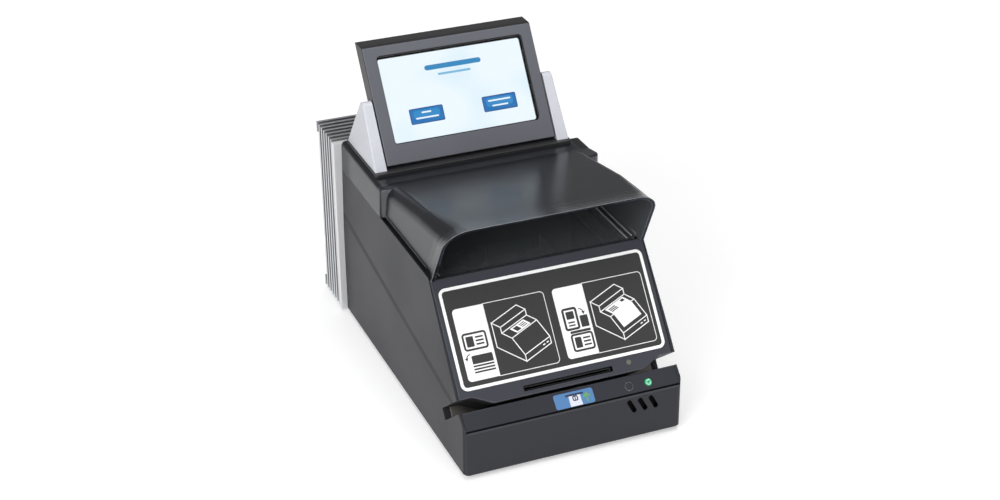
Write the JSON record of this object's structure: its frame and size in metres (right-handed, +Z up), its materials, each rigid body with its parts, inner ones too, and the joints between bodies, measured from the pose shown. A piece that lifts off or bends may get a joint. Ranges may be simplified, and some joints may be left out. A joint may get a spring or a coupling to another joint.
{
  "type": "passport reader",
  "caption": "Counter-top document reader with a hooded scanning glass, swipe channel, card slot, tilting touch display and finned rear heat sink.",
  "frame": {"origin": "under the middle of the machine, at the underside of its feet", "axes": "+X to the user's right, +Y from the front lip towards the heat sink, +Z up"},
  "size_m": [0.148, 0.254, 0.1923],
  "materials": {
    "housing_plastic": "fine grained",
    "base_plastic": "fine grained",
    "screw_steel": "zinc plated",
    "screw_dark": "blackened",
    "foot_rubber": "matt",
    "panel_plastic": "satin",
    "label_film": "printed film with plain drawings",
    "led_clear": "clear lens",
    "lip_plastic": "satin",
    "sticker_film": "printed film with plain signs",
    "button_plastic": "satin",
    "ring_metal": "dark chrome",
    "led_green": "lit green lens",
    "circuit_board": "solder mask",
    "speaker_parts": "painted",
    "channel_plastic": "satin",
    "wear_steel": "polished by use",
    "head_metal": "lapped",
    "bracket_steel": "zinc plated",
    "reader_plastic": "satin",
    "carriage_plastic": "natural",
    "hood_plastic": "polished",
    "frame_plastic": "satin",
    "document_glass": "coated",
    "chamber_plastic": "matt",
    "mirror_glass": "front coated",
    "light_bar": "white diffuser",
    "lens_barrel": "anodised look",
    "standoff_brass": "turned",
    "sink_aluminium": "extruded, satin",
    "pad_rubber": "soft",
    "connector_steel": "powder coated",
    "socket_metal": "plated shell",
    "socket_plastic": "moulded",
    "switch_plastic": "moulded",
    "rocker_plastic": "moulded",
    "deck_plastic": "satin",
    "bracket_white": "satin, cool white",
    "bezel_plastic": "satin",
    "cover_plastic": "fine grained",
    "touch_glass": "clear",
    "screen_picture": "lit picture",
    "pin_steel": "ground",
    "washer_plastic": "natural"
  },
  "bodies": {
    "base": {"main_housing": "housing_plastic", "base_plate": "base_plastic", "base_screws": "screw_steel", "rubber_feet": "foot_rubber", "front_panel": "panel_plastic", "instruction_label": "label_film", "panel_led": "led_clear", "lip_cover": "lip_plastic", "lip_sticker": "sticker_film", "button_ring": "ring_metal", "status_led": "led_green", "indicator_board": "circuit_board", "speaker": "speaker_parts", "swipe_channel": "channel_plastic", "wear_strip": "wear_steel", "head_bracket": "bracket_steel", "card_reader_body": "reader_plastic", "hood": "hood_plastic", "hood_screws": "screw_steel", "glass_frame": "frame_plastic", "document_glass": "document_glass", "antenna_board": "circuit_board", "optical_chamber": "chamber_plastic", "mirror": "mirror_glass", "light_bars": "light_bar", "camera_lens": "lens_barrel", "camera_board": "circuit_board", "camera_bracket": "bracket_steel", "main_board": "circuit_board", "computer_board": "circuit_board", "standoffs": "standoff_brass", "board_screws": "screw_steel", "heat_sink": "sink_aluminium", "thermal_pad": "pad_rubber", "heat_sink_screws": "screw_steel", "connector_plate": "connector_steel", "lan_socket": "socket_metal", "usb_sockets": "socket_metal", "power_inlet": "socket_plastic", "power_switch_frame": "switch_plastic", "deck_plate": "deck_plastic", "bracket_screws": "screw_steel", "bracket_left": "bracket_white", "bracket_right": "bracket_white", "pivot_pins": "pin_steel", "friction_washers": "washer_plastic"},
    "display": {"display_bezel": "bezel_plastic", "display_rear_cover": "cover_plastic", "touch_glass": "touch_glass", "lcd_panel": "screen_picture", "display_board": "circuit_board", "display_screws": "screw_dark"},
    "button": {"function_button": "button_plastic"},
    "head": {"magnetic_head": "head_metal"},
    "carriage": {"card_reader_carriage": "carriage_plastic"},
    "rocker": {"power_rocker": "rocker_plastic"}
  },
  "joints": [
    {"name": "display_tilt", "type": "hinge", "parent": "base", "child": "display", "pos_m": [0, 0.05697, 0.15264], "axis": [-1, 0, 0], "range_deg": [0, 25]},
    {"name": "button_press", "type": "slide", "parent": "base", "child": "button", "axis": [0, 0.6934, -0.7206], "range_m": [0, 0.0006], "stiffness_N_per_m": 2000, "springref_m": -0.0001},
    {"name": "head_float", "type": "slide", "parent": "base", "child": "head", "axis": [0, -0.6184, -0.7859], "range_m": [0, 0.0008], "stiffness_N_per_m": 1500, "springref_m": -0.0003},
    {"name": "carriage_push", "type": "slide", "parent": "base", "child": "carriage", "axis": [0, 0.7859, -0.6184], "range_m": [0, 0.004], "stiffness_N_per_m": 150, "springref_m": -0.001},
    {"name": "power_rock", "type": "hinge", "parent": "base", "child": "rocker", "pos_m": [0.0654, 0.015, 0.0225], "axis": [0, 1, 0], "range_deg": [0, 20]}
  ]
}
